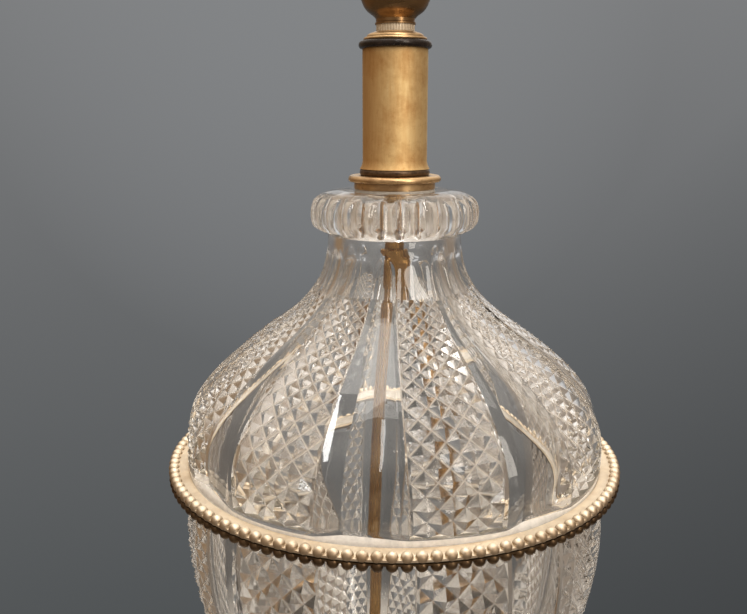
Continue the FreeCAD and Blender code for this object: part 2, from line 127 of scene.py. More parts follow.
class Outline:
    """A smooth curve of (radius, height) through a few stations, walked by its length."""

    SAMPLES = 600
    NORMAL_REACH = 0.4 * MM     # how far to each side the direction of the curve is measured

    def __init__(self, stations):
        points = np.array(stations, float)
        steps = np.linalg.norm(np.diff(points, axis=0), axis=1)
        knots = np.concatenate([[0.0], np.cumsum(steps)])
        fine = np.linspace(0.0, knots[-1], self.SAMPLES)
        self.points = np.stack([self.natural_spline(knots, points[:, k], fine) for k in (0, 1)], 1)
        lengths = np.linalg.norm(np.diff(self.points, axis=0), axis=1)
        self.walked = np.concatenate([[0.0], np.cumsum(lengths)])
        self.length = self.walked[-1]

    @staticmethod
    def natural_spline(knots, values, where):
        """A cubic through the values at the knots, with no bend at either end."""
        count = len(knots)
        slopes = np.diff(values) / np.diff(knots)
        gaps = np.diff(knots)
        matrix = np.eye(count)
        rhs = np.zeros(count)
        for i in range(1, count - 1):
            matrix[i, i - 1] = gaps[i - 1]
            matrix[i, i] = 2 * (gaps[i - 1] + gaps[i])
            matrix[i, i + 1] = gaps[i]
            rhs[i] = 6 * (slopes[i] - slopes[i - 1])
        bend = np.linalg.solve(matrix, rhs)
        i = np.clip(np.searchsorted(knots, where) - 1, 0, count - 2)
        gap = gaps[i]
        after = (where - knots[i]) / gap
        before = 1 - after
        line = before * values[i] + after * values[i + 1]
        curve = ((before**3 - before) * bend[i] + (after**3 - after) * bend[i + 1]) * gap**2 / 6
        return line + curve

    def at(self, walked):
        """Radius and height at one walked length, or at an array of them."""
        return np.array([np.interp(walked, self.walked, self.points[:, k]) for k in (0, 1)])

    def outward(self, walked):
        """Unit normal that points away from the axis."""
        ahead = self.at(min(walked + self.NORMAL_REACH, self.length))
        behind = self.at(max(walked - self.NORMAL_REACH, 0.0))
        along = unit(ahead - behind)
        normal = np.array([along[1], -along[0]])
        return normal if normal[0] > 0 else -normal

    def length_at_height(self, height):
        return float(self.walked[np.argmin(np.abs(self.points[:, 1] - height))])


class CutShell:
    """Collects rows of vertices round the axis and the faces between them.

    Each vertex has a share called valley, from 0 on clear glass to 1 on a frosted line.
    """

    def __init__(self, turn=0.0):
        self.turn = turn
        self.vertices = []
        self.valley = []
        self.faces = []
        self.smooth = []
        self.ground = []
        self.creases = []

    def row(self, azimuths, radii, heights, valley=None):
        """One ring of vertices; a nan radius leaves its vertex out. Returns the indices."""
        indices = []
        shares = np.zeros(len(azimuths)) if valley is None else valley
        for azimuth, radius, height, share in zip(azimuths, radii, heights, shares):
            if np.isnan(radius):
                indices.append(None)
                continue
            indices.append(len(self.vertices))
            self.valley.append(float(share))
            x = radius * math.sin(azimuth + self.turn)
            y = -radius * math.cos(azimuth + self.turn)
            self.vertices.append((x, y, height))
        return indices

    def face(self, corners, smooth, ground=False):
        self.faces.append(corners)
        self.smooth.append(smooth)
        self.ground.append(int(ground))

    def quads(self, low, high, smooth=True, columns=None, ground=False):
        """Faces between two rows, all the way round or at some columns only."""
        count = len(low)
        for column in columns if columns is not None else range(count):
            after = (column + 1) % count
            self.face([low[column], low[after], high[after], high[column]], smooth, ground)

    def crease(self, row):
        self.creases += list(zip(row, row[1:] + row[:1]))

    def finish(self, name):
        """The object, with sharp creases and every face turned outwards."""
        mesh = bpy.data.meshes.new(name)
        mesh.from_pydata(self.vertices, [], self.faces)
        mesh.polygons.foreach_set("use_smooth", self.smooth)
        mesh.polygons.foreach_set("material_index", self.ground)
        share = mesh.attributes.new("valley", "FLOAT", "POINT")
        share.data.foreach_set("value", self.valley)
        wanted = {frozenset(pair) for pair in self.creases}
        for edge in mesh.edges:
            if frozenset(edge.vertices) in wanted:
                edge.use_edge_sharp = True
        work = bmesh.new()
        work.from_mesh(mesh)
        bmesh.ops.recalc_face_normals(work, faces=work.faces)
        work.to_mesh(mesh)
        work.free()
        thing = bpy.data.objects.new(name, mesh)
        bpy.context.scene.collection.objects.link(thing)
        return thing


def sector_azimuths(panel_span):
    """Azimuths of all columns: in each sector a panel, a groove, a flute and a groove."""
    sector = 2 * math.pi / SECTORS
    half = panel_span / 2
    panel = np.linspace(-half, half, PANEL_COLUMNS + 1)
    flute = np.linspace(half + GROOVE_SPAN, sector - half - GROOVE_SPAN, FLUTE_COLUMNS + 1)
    near_groove = [half + GROOVE_SPAN / 2]
    far_groove = [sector - half - GROOVE_SPAN / 2]
    one = np.concatenate([panel, near_groove, flute, far_groove])
    start = FRONT_FLUTE + sector / 2
    return np.concatenate([start + k * sector + one for k in range(SECTORS)])


def even_azimuths():
    """Evenly spread columns, lined up with the middles of the panels and flutes."""
    count = SECTORS * COLUMNS
    start = sector_azimuths(PANEL_SPAN_NARROW)[0]
    return start + np.arange(count) * 2 * math.pi / count


def all_columns(panel, groove, flute):
    """Values for every column round the shell, from those of one sector."""
    return np.tile(np.concatenate([panel, [groove], flute, [groove]]), SECTORS)


def smoothstep(low, high, value):
    t = np.clip((value - low) / (high - low), 0.0, 1.0)
    return t * t * (3 - 2 * t)


def plain_rows(shell, before, outline_points, azimuths, creased=(), ground=False, haze=0.0):
    """Round rows through the points, joined to the row before. creased numbers the sharp ones."""
    level = np.ones(len(azimuths))
    for number, (radius, height) in enumerate(outline_points):
        row = shell.row(azimuths, radius * level, height * level, haze * level)
        if before is not None:
            shell.quads(before, row, ground=ground)
        if number in creased:
            shell.crease(row)
        before = row
    return before


def rim_start(shell, side):
    """The first rows of a crystal, round the outer edge of its rim."""
    wide, narrow = RIM_OUTER_R
    edge = above_seam([(narrow, side * RIM_GAP), (wide, side * (RIM_GAP + RIM_CHAMFERS[0]))])
    return plain_rows(shell, None, edge, sector_azimuths(PANEL_SPAN_WIDE), ground=True)


def rim_rows(shell, outline, before, stops, ground_until=0.0):
    """Rows from the rim to the pattern. A stop is a walked length and the ripple on it."""
    azimuths = sector_azimuths(PANEL_SPAN_WIDE)
    for walked, ripple in stops:
        radius, height = outline.at(walked + ripple)
        normal = outline.outward(walked)
        fade = smoothstep(0.0, FLUTE_FADE, walked)
        flute = flute_depths(outline.at(walked)[0], PANEL_SPAN_WIDE) * fade
        depths = all_columns(NO_PANEL, 0.0, flute)
        row = shell.row(azimuths, radius - depths * normal[0], height - depths * normal[1])
        shell.quads(before, row, ground=walked < ground_until)
        before = row
    return before


def inside_rows(shell, outline, before, side, lowest=0.0):
    """The smooth inside wall above the lowest height, closed to the rim where the shell began.

    side is 1 above the seam and -1 below it.
    """
    azimuths = even_azimuths()
    narrow, wide = RIM_INNER_R
    edge = above_seam([(narrow, side * (RIM_GAP + RIM_CHAMFERS[1])), (wide, side * RIM_GAP)])
    inside = [point for point in inner_stations(outline, WALL)[::-1] if point[1] > lowest]
    before = plain_rows(shell, before, inside[:-1], azimuths)
    last = plain_rows(shell, before, edge, azimuths)
    first = list(range(len(azimuths)))
    shell.quads(last, first, smooth=False, ground=True)


def flute_depths(radius, panel_span):
    """Depth of a flute at each of its columns: a flat facet between two bevels."""
    half = (2 * math.pi / SECTORS - panel_span) / 2 - GROOVE_SPAN
    angle = np.linspace(-half, half, FLUTE_COLUMNS + 1)
    right = FLUTE_COLUMNS - RIGHT_BEVEL
    reach = radius * (math.cos(angle[right] + FACET_TURN) - FACET_EDGE)
    depths = radius - reach / np.cos(angle + FACET_TURN)
    depths[:LEFT_BEVEL + 1] = np.linspace(0.0, depths[LEFT_BEVEL], LEFT_BEVEL + 1)
    depths[right:] = np.linspace(depths[right], 0.0, RIGHT_BEVEL + 1)
    return depths


def cut_band(shell, outline, start, end, before, span_of, line_strength):
    """The patterned band: diamond panels between flutes, from walked length start to end.

    span_of gives a panel's span at a walked length, and line_strength the frosting at a height.
    """
    wished = []
    walked = start
    while walked < end:
        step = DIAMOND_ASPECT * outline.at(walked)[0] * span_of(walked) / PANEL_COLUMNS
        wished.append(step)
        walked += step
    steps = np.array(wished) * (end - start) / sum(wished)
    coarse = start + np.concatenate([[0.0], np.cumsum(steps)])
    fine = np.interp(
        np.arange(FINE_ROWS * len(steps) + 1) / FINE_ROWS, np.arange(len(coarse)), coarse
    )
    rows = []
    for number, walked in enumerate(fine):
        radius, height = outline.at(walked)
        normal = outline.outward(walked)
        span = span_of(walked)
        valley = DIAMOND_DEPTH * radius * span / PANEL_COLUMNS
        panel = np.full(PANEL_COLUMNS + 1, np.nan)
        groove = np.nan
        if number % FINE_ROWS == 0:
            at_valley = (np.arange(PANEL_COLUMNS + 1) + number // FINE_ROWS) % 2 == 0
            panel = np.where(at_valley, valley, 0.0)
            groove = GROOVE_DEPTH * valley
        flute = flute_depths(radius, span)
        depths = all_columns(panel, groove, flute)
        frosting = 0.8 + 0.2 * line_strength(height)
        in_valley = all_columns(panel / valley * frosting, 0.9 * frosting, 0 * flute)
        row = shell.row(
            sector_azimuths(span),
            radius - depths * normal[0],
            height - depths * normal[1],
            in_valley,
        )
        rows.append(row)
    shell.quads(before, rows[0], smooth=False)
    for number in range(len(steps)):
        strip = rows[FINE_ROWS * number:FINE_ROWS * (number + 1) + 1]
        low, high = strip[0], strip[-1]
        for sector in range(SECTORS):
            first = sector * COLUMNS
            panel_end = first + PANEL_COLUMNS
            flute_start = panel_end + 2
            flute_end = flute_start + FLUTE_COLUMNS
            after = (first + COLUMNS) % len(low)
            panel_faces(shell, low, high, first, number)
            shell.quads(low, high, smooth=False, columns=[panel_end])
            shell.quads(low, high, smooth=False, columns=[flute_end + 1])
            for under, over in zip(strip, strip[1:]):
                shell.quads(under, over, columns=range(flute_start, flute_end))
                for edge in (flute_start + LEFT_BEVEL, flute_end - RIGHT_BEVEL):
                    shell.creases.append((under[edge], over[edge]))
            groove_face(shell, strip, panel_end + 1, flute_start)
            groove_face(shell, strip, flute_end + 1, flute_end)
    return rows[-1]


def panel_faces(shell, low, high, first, number):
    """Two facets in each cell, split along the valley between its two pyramids."""
    for column in range(PANEL_COLUMNS):
        a = low[first + column]
        b = low[first + column + 1]
        c = high[first + column + 1]
        d = high[first + column]
        if (column + number) % 2 == 0:
            shell.face([a, b, c], False)
            shell.face([a, c, d], False)
        else:
            shell.face([a, b, d], False)
            shell.face([b, c, d], False)


def groove_face(shell, strip, bottom, ridge):
    """One side of a groove, from its coarse bottom line to the fine ridge beside the flute."""
    shell.face([strip[0][bottom]] + [row[ridge] for row in strip] + [strip[-1][bottom]], False)


def inner_stations(outline, wall):
    """Points of the smooth inside wall, a wall's thickness in from the outline."""
    count = 34
    points = []
    for walked in np.linspace(0.0, outline.length, count):
        points.append(outline.at(walked) - wall * outline.outward(walked))
    return points


def above_seam(stations):
    return [(radius * MM, SEAM_Z + height * MM) for radius, height in stations]


def blended_row(shell, outline, walked, morph, depths):
    """A row whose columns lie between the sector layout (morph 0) and the even one (morph 1)."""
    radius, height = outline.at(walked)
    normal = outline.outward(walked)
    sector = sector_azimuths(PANEL_SPAN_NARROW)
    azimuths = sector + (even_azimuths() - sector) * morph
    return shell.row(azimuths, radius - depths * normal[0], height - depths * normal[1])


def collar_cuts(azimuths, height, low, high):
    """Depth of the upright round-ended thumb cuts of the collar, and frost on their ridges."""
    cell = 2 * math.pi / COLLAR_CELLS
    across = ((azimuths - COLLAR_TURN + cell / 2) % cell) / cell * 2 - 1
    past_middle = max(low + COLLAR_CUT_END - height, height - (high - COLLAR_CUT_END), 0.0)
    beyond = past_middle / COLLAR_CUT_END
    reach = (across / COLLAR_CUT_WIDTH) ** 2 + beyond**2
    frost = RIDGE_FROST * smoothstep(0.8, 1.05, reach) * smoothstep(1.0, 0.6, beyond)
    return COLLAR_DEPTH * np.clip(1 - reach, 0.0, 1.0) ** 0.65, frost


def neck_flute_depths(arch_distance):
    """Short upright cuts round the neck, one over each panel and one over each flute."""
    over_panel = np.linspace(-1.0, 1.0, PANEL_COLUMNS + 1)
    over_flute = np.linspace(-1.0, 1.0, FLUTE_COLUMNS + 1)
    depths = []
    for across in (over_panel, over_flute):
        below_arch = arch_distance - NECK_ARCH_DROP * across**2
        run_in = smoothstep(0.0, 3.0 * MM, below_arch)
        depths.append(NECK_CUT_DEPTH * (1 - across**2) * run_in)
    return all_columns(depths[0], 0.0, depths[1])


def neck_rows(shell, outline, start, before):
    """The neck with its short cuts, from walked length start to the top of the outline."""
    count = 18
    arch_top = outline.length_at_height(SEAM_Z + 113.0 * MM)
    for number in range(1, count + 1):
        share = number / count
        walked = start + (outline.length - start) * share
        depths = neck_flute_depths(arch_top - walked)
        row = blended_row(shell, outline, walked, smoothstep(0.75, 1.0, share), depths)
        shell.quads(before, row, smooth=number > 1)
        before = row
    shell.crease(before)
    return before


def collar_rows(shell, before):
    """The collar's rounded outside with its upright cuts."""
    count = 26
    collar = Outline(above_seam([
        (33.6, 119.4), (37.8, 121.6), (41.4, 124.2), (42.3, 127.5), (42.3, 132.0), (41.4, 135.2),
        (38.0, 138.4), (33.6, 140.3), (29.0, 141.0),
    ]))
    cuts_low = SEAM_Z + 120.8 * MM
    cuts_high = SEAM_Z + 139.0 * MM
    even = even_azimuths()
    for number in range(1, count + 1):
        walked = collar.length * number / count
        radius, height = collar.at(walked)
        normal = collar.outward(walked)
        depths, frost = collar_cuts(even, height, cuts_low, cuts_high)
        row = shell.row(even, radius - depths * normal[0], height - depths * normal[1], frost)
        shell.quads(before, row)
        before = row
    return before


def upper_crystal():
    """Shoulder, neck and collar, from the rim up the outside and down the inside again."""
    outline = Outline(above_seam([
        (107.4, RIM_GAP), (108.2, 15), (106.2, 28), (91.2, 50), (66.5, 70), (46.4, 86), (36.3, 102),
        (33.6, 119.4),
    ]))
    shell = CutShell()
    pattern_start = outline.length_at_height(SEAM_Z + 6.2 * MM)
    pattern_end = outline.length_at_height(SEAM_Z + 92.0 * MM)

    def span_of(walked):
        share = (walked - pattern_start) / (pattern_end - pattern_start)
        return PANEL_SPAN_WIDE + (PANEL_SPAN_NARROW - PANEL_SPAN_WIDE) * share

    def line_strength(height):
        return 0.25 + 0.75 * smoothstep(14.0 * MM, 34.0 * MM, height - SEAM_Z)

    before = rim_start(shell, side=1)
    ripple = RIM_RIPPLE * np.sin(RIM_RIPPLES * sector_azimuths(PANEL_SPAN_WIDE) + 1.0)
    stops = ((3.2 * MM, ripple), (pattern_start - 0.5 * MM, 0.0))
    before = rim_rows(shell, outline, before, stops, ground_until=4.0 * MM)
    before = cut_band(shell, outline, pattern_start, pattern_end, before, span_of, line_strength)
    before = neck_rows(shell, outline, pattern_end, before)
    before = collar_rows(shell, before)
    top = above_seam([(26.0, 141.0), (19.6, 141.0)])
    bore = above_seam([(19.0, 140.4), (19.0, 136.8), (20.4, 133.6), (22.9, 129.2), (25.2, 124.4)])
    even = even_azimuths()
    before = plain_rows(shell, before, top, even, creased=(1,))
    before = plain_rows(shell, before, bore, even, creased=(0,), haze=BORE_HAZE)
    inside_rows(shell, outline, before, side=1)
    return shell.finish("cut_upper_crystal")


def foot_rows(shell, outline, start, before):
    """The foot, where the flutes run out, from walked length start to the end of the outline."""
    count = 6
    for number in range(1, count + 1):
        share = number / count
        walked = start + (outline.length - start) * share
        flute = flute_depths(outline.at(walked)[0], PANEL_SPAN_NARROW)
        depths = all_columns(NO_PANEL, 0.0, flute) * (1 - smoothstep(0, 0.5, share))
        row = blended_row(shell, outline, walked, share, depths)
        shell.quads(before, row, smooth=number > 1)
        before = row
    return before


def lower_crystal():
    """Bowl, from the rim down the outside, under the foot and up the inside again."""
    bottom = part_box("lower_crystal")[0].z
    foot = (bottom - SEAM_Z) / MM
    outline = Outline(above_seam([
        (107.4, -RIM_GAP), (109.9, -25), (108.7, -50), (104.0, -75), (96.9, -100), (84.5, -131),
        (67.0, -161), (49.5, -188),
    ]))
    shell = CutShell(LOWER_TURN)
    pattern_start = outline.length_at_height(SEAM_Z - 5.4 * MM)
    pattern_end = outline.length_at_height(SEAM_Z - 168.0 * MM)

    def span_of(walked):
        share = (walked - pattern_start) / (pattern_end - pattern_start)
        return PANEL_SPAN_WIDE + (PANEL_SPAN_NARROW - PANEL_SPAN_WIDE) * share**2

    def line_strength(height):
        return LOWER_LINES

    before = rim_start(shell, side=-1)
    stops = ((1.6 * MM, 0.0), (pattern_start - 1.0 * MM, 0.0))
    before = rim_rows(shell, outline, before, stops)
    before = cut_band(shell, outline, pattern_start, pattern_end, before, span_of, line_strength)
    before = foot_rows(shell, outline, pattern_end, before)
    under = above_seam([
        (48.4, foot + 1.2), (46.0, foot), (30.0, foot), (5.6, foot), (5.6, foot + 8.0),
        (20.0, foot + 8.0), (32.0, foot + 8.3),
    ])
    before = plain_rows(shell, before, under, even_azimuths(), creased=(1, 3, 4))
    inside_rows(shell, outline, before, side=-1, lowest=bottom + 9.5 * MM)
    return shell.finish("cut_lower_crystal")


def felt_ring(mesh, middle, radius, height, spokes):
    """A ring of vertices with a slightly uneven edge, or one vertex at no radius."""
    if radius == 0.0:
        return [mesh.verts.new((middle.x, middle.y, height))]
    points = []
    for spoke in range(spokes):
        angle = 2 * math.pi * spoke / spokes
        uneven = (1 + math.sin(23 * angle) * math.sin(7 * angle + 1.0)) / 2
        frayed = radius - FELT_FRAY * uneven
        x = middle.x + frayed * math.cos(angle)
        y = middle.y + frayed * math.sin(angle)
        points.append(mesh.verts.new((x, y, height)))
    return points


def felt_pad():
    """Felt disc with a soft rounded edge, from the middle of its underside to that of its top."""
    low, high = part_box("felt_pad")
    middle = (low + high) / 2
    full_r = (high.x - low.x) / 2
    thick = high.z - low.z
    spokes = 180
    edge = [(0.93, 0.0), (0.985, 0.12), (1.0, 0.45), (0.99, 0.85), (0.96, 1.0)]
    profile = [(0.0, 0.0)] + edge + [(0.0, 1.0)]
    mesh = bmesh.new()
    rings = [
        felt_ring(mesh, middle, full_r * out, low.z + up * thick, spokes) for out, up in profile
    ]
    for inner, outer in zip(rings, rings[1:]):
        for spoke in range(spokes):
            after = (spoke + 1) % spokes
            corners = [inner[spoke % len(inner)], outer[spoke % len(outer)]]
            corners += [outer[after % len(outer)], inner[after % len(inner)]]
            mesh.faces.new(list(dict.fromkeys(corners)))
    bmesh.ops.recalc_face_normals(mesh, faces=mesh.faces)
    data = bpy.data.meshes.new("soft_felt_pad")
    mesh.to_mesh(data)
    mesh.free()
    data.polygons.foreach_set("use_smooth", [True] * len(data.polygons))
    pad = bpy.data.objects.new("soft_felt_pad", data)
    bpy.context.scene.collection.objects.link(pad)
    return pad


# ---- Materials ----------------------------------------------------------------------------------
class Shader:
    """A small helper that adds and links shader nodes."""

    def __init__(self, name):
        self.material = bpy.data.materials.new(name)
        self.material.use_nodes = True
        self.tree = self.material.node_tree
        self.tree.nodes.clear()
        self.output = self.tree.nodes.new("ShaderNodeOutputMaterial")

    def node(self, kind, links=None, **settings):
        made = self.tree.nodes.new(kind)
        for key, value in settings.items():
            setattr(made, key, value)
        for socket, source in (links or {}).items():
            if hasattr(source, "is_output"):
                self.tree.links.new(source, made.inputs[socket])
            else:
                made.inputs[socket].default_value = source
        return made

    def place(self, scale=(1.0, 1.0, 1.0)):
        """The position in metres, stretched by scale."""
        coordinates = self.node("ShaderNodeTexCoord")
        stretched = self.node(
            "ShaderNodeVectorMath",
            {0: coordinates.outputs["Object"], 1: scale},
            operation="MULTIPLY",
        )
        return stretched.outputs[0]

    def from_axis(self):
        """The distance from the lamp's axis in metres."""
        level = self.place((1.0, 1.0, 0.0))
        made = self.node("ShaderNodeVectorMath", {0: level}, operation="LENGTH")
        return made.outputs["Value"]

    def noise(self, scale, detail=4.0, roughness=0.55, stretch=(1.0, 1.0, 1.0)):
        made = self.node(
            "ShaderNodeTexNoise",
            {"Vector": self.place(stretch), "Scale": scale, "Detail": detail,
             "Roughness": roughness},
        )
        return made.outputs["Fac"]

    def math(self, operation, first, second):
        """One number from two, such as their sum or product."""
        return self.node("ShaderNodeMath", {0: first, 1: second}, operation=operation).outputs[0]

    def spread(self, value, low, high, out_low=0.0, out_high=1.0):
        """Takes low to high over to out_low to out_high, and holds the value beyond them."""
        made = self.node(
            "ShaderNodeMapRange",
            {"Value": value, "From Min": low, "From Max": high, "To Min": out_low,
             "To Max": out_high},
        )
        return made.outputs["Result"]

    def blend(self, share, first, second):
        """The first colour where share is 0 and the second where it is 1."""
        made = self.node("ShaderNodeMix", data_type="RGBA")
        for socket, source in ((0, share), (6, first), (7, second)):
            if hasattr(source, "is_output"):
                self.tree.links.new(source, made.inputs[socket])
            else:
                made.inputs[socket].default_value = source
        return made.outputs[2]

    def mix(self, share, first, second):
        """The first surface where share is 0 and the second where it is 1."""
        return self.node("ShaderNodeMixShader", {0: share, 1: first, 2: second}).outputs[0]

    def bump(self, height, distance, strength=1.0):
        made = self.node(
            "ShaderNodeBump", {"Height": height, "Distance": distance, "Strength": strength}
        )
        return made.outputs["Normal"]

    def principled(self, **inputs):
        made = self.node("ShaderNodeBsdfPrincipled")
        for key, source in inputs.items():
            socket = made.inputs[key.replace("_", " ")]
            if hasattr(source, "is_output"):
                self.tree.links.new(source, socket)
            else:
                socket.default_value = source
        return made.outputs["BSDF"]

    def finish(self, surface):
        self.tree.links.new(surface, self.output.inputs["Surface"])
        return self.material


def rgb(red, green, blue):
    return (red, green, blue, 1.0)


LEAD_GLASS_IOR = 1.545
GLASS_WAVES = 55.0          # waves per metre, as are the grains below
DUST_GRAIN = 240.0
FROST_GRAIN = 300.0
PATCH_GRAIN = 70.0
SPECK_GRAIN = 420.0
RUBBING_GRAIN = 700.0
# Brown round the feet of the beads: tarnish and painted shade.
BEAD_FOOT_BROWN = rgb(0.30, 0.19, 0.10)
# Brown of the hollows, laid on by ambient occlusion: dirt and painted shade.
HOLLOW_DIRT_AND_SHADE = rgb(0.10, 0.055, 0.02)


def crystal_glass(name, ground_all_over):
    """Clear crystal, frosted in the valleys of the cutting, or ground all over for a rim.

    Shadow rays go straight through it, so that the glass casts a pale shadow only.
    """
    shader = Shader(name)
    valley = shader.node("ShaderNodeAttribute", attribute_name="valley").outputs["Fac"]
    wheel_marks = shader.spread(valley, 0.02, 0.3, 0.0, 0.09)
    dust = shader.spread(shader.noise(DUST_GRAIN, detail=6.0), 0.45, 0.75, 0.015, 0.05)
    waves = shader.noise(GLASS_WAVES, detail=2.0)
    glass = shader.principled(
        Base_Color=rgb(0.985, 0.978, 0.965),
        Roughness=shader.math("ADD", dust, wheel_marks),
        IOR=LEAD_GLASS_IOR,
        Transmission_Weight=1.0,
        Normal=shader.bump(waves, 0.15 * MM, 0.5),
    )
    frosted_line = shader.spread(valley, 0.78, 0.95)
    least, most = 0.30, 0.68
    patchy = shader.spread(shader.noise(FROST_GRAIN, detail=5.0), 0.3, 0.7, least, most)
    if ground_all_over:
        pale = rgb(0.93, 0.90, 0.86)
        see_through = 0.2
        share = shader.spread(patchy, least, most, 0.70, 0.98)
    else:
        pale = rgb(0.80, 0.73, 0.65)
        see_through = 0.5
        share = shader.math("MULTIPLY", frosted_line, patchy)
    lit = shader.node("ShaderNodeBsdfDiffuse", {"Color": pale, "Roughness": 0.6})
    through = shader.node("ShaderNodeBsdfTranslucent", {"Color": pale})
    frost = shader.mix(see_through, lit.outputs[0], through.outputs[0])
    cut = shader.mix(share, glass, frost)
    clear = shader.node("ShaderNodeBsdfTransparent", {"Color": rgb(0.93, 0.925, 0.91)})
    shadow = shader.node("ShaderNodeLightPath").outputs["Is Shadow Ray"]
    return shader.finish(shader.mix(shadow, cut, clear.outputs[0]))


def round_each_bead(shader):
    """How brown the ring is, as tarnish and painted shade: most round the foot of each bead and on
    the slope outside them.
    """
    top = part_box("upper_bead_ring")[1]
    flange = top.z - BEAD_RISE
    circle = top.x - BEAD_RADIUS
    height = shader.node("ShaderNodeSeparateXYZ", {0: shader.place()}).outputs[2]
    on_bead = shader.spread(height, flange + 0.02 * MM, flange + 0.12 * MM)
    low = shader.spread(height, flange + 0.3 * MM, flange + 1.5 * MM, BEAD_TARNISH_AND_SHADE, 0.0)
    foot = shader.math("MULTIPLY", on_bead, low)
    radius = shader.from_axis()
    slope = shader.spread(radius, circle + 1.2 * MM, circle + 2.1 * MM, 0.0, BEAD_TARNISH_AND_SHADE)
    return shader.math("MAXIMUM", foot, slope)


def aged_brass(name, clean, tarnish, stretch, roughness, mottle=1.0, grime_and_shade=0.85, turned=0.0,
               painted_left_shade=0.0, beaded=False):
    """Brass with brown patches, fine rubbing marks and darker hollows.

    stretch draws the rubbing marks out, and mottle is the strength of the patches. grime sets how
    dark the hollows are made by ambient occlusion, as dirt and painted shade. turned is how far the
    polish follows a lathe, and painted_left_shade how much the left is browned as painted shade.
    beaded adds the brown round the beads, as tarnish and painted shade.
    """
    shader = Shader(name)
    clouds = shader.noise(PATCH_GRAIN, detail=8.0, roughness=0.65)
    patches = shader.spread(clouds, 0.42, 0.68, 0.0, mottle)
    specks = shader.spread(shader.noise(SPECK_GRAIN, detail=5.0, roughness=0.7), 0.58, 0.72)
    marks = shader.noise(RUBBING_GRAIN, detail=3.0, stretch=stretch)
    # Ambient occlusion darkens the hollows: dirt and painted shade.
    hollow = shader.node("ShaderNodeAmbientOcclusion", {"Distance": 2.5 * MM}, samples=4)
    shut_in = shader.spread(hollow.outputs["AO"], 0.35, 0.95, grime_and_shade, 0.0)
    worn = shader.blend(patches, clean, tarnish)
    # Painted shade: the left side turns brown, standing in for the dark room it mirrors.
    if painted_left_shade:
        across = shader.node("ShaderNodeSeparateXYZ", {0: shader.place()}).outputs[0]
        left = shader.spread(across, -2.0 * MM, -15.0 * MM, 0.0, painted_left_shade)
        worn = shader.blend(left, worn, tarnish)
    if beaded:
        worn = shader.blend(round_each_bead(shader), worn, BEAD_FOOT_BROWN)
    spotted = shader.blend(specks, worn, shader.blend(0.5, worn, tarnish))
    color = shader.blend(shut_in, spotted, HOLLOW_DIRT_AND_SHADE)
    rough = shader.spread(marks, 0.3, 0.7, roughness - 0.08, roughness + 0.12)
    lathe = shader.node("ShaderNodeTangent", direction_type="RADIAL", axis="Z")
    surface = shader.principled(
        Base_Color=color,
        Metallic=1.0,
        Roughness=rough,
        Anisotropic=turned,
        Anisotropic_Rotation=0.25,
        Tangent=lathe.outputs[0],
        Normal=shader.bump(marks, 0.02 * MM, 0.6),
    )
    return shader.finish(surface)


def plain_solid(name, light, dark, roughness, grain, bump_depth, metallic=0.0):
    """Rubber, plastic, board, felt, iron and bronze: two tones broken up by grain."""
    shader = Shader(name)
    tone = shader.noise(grain, detail=6.0, roughness=0.65)
    cloud = shader.noise(grain / 9, detail=3.0)
    color = shader.blend(shader.spread(tone, 0.35, 0.65), dark, light)
    color = shader.blend(shader.spread(cloud, 0.3, 0.8, 0.0, 0.4), color, dark)
    surface = shader.principled(
        Base_Color=color,
        Metallic=metallic,
        Roughness=shader.spread(tone, 0.2, 0.8, roughness - 0.08, roughness + 0.08),
        Normal=shader.bump(tone, bump_depth, 0.8),
    )
    return shader.finish(surface)


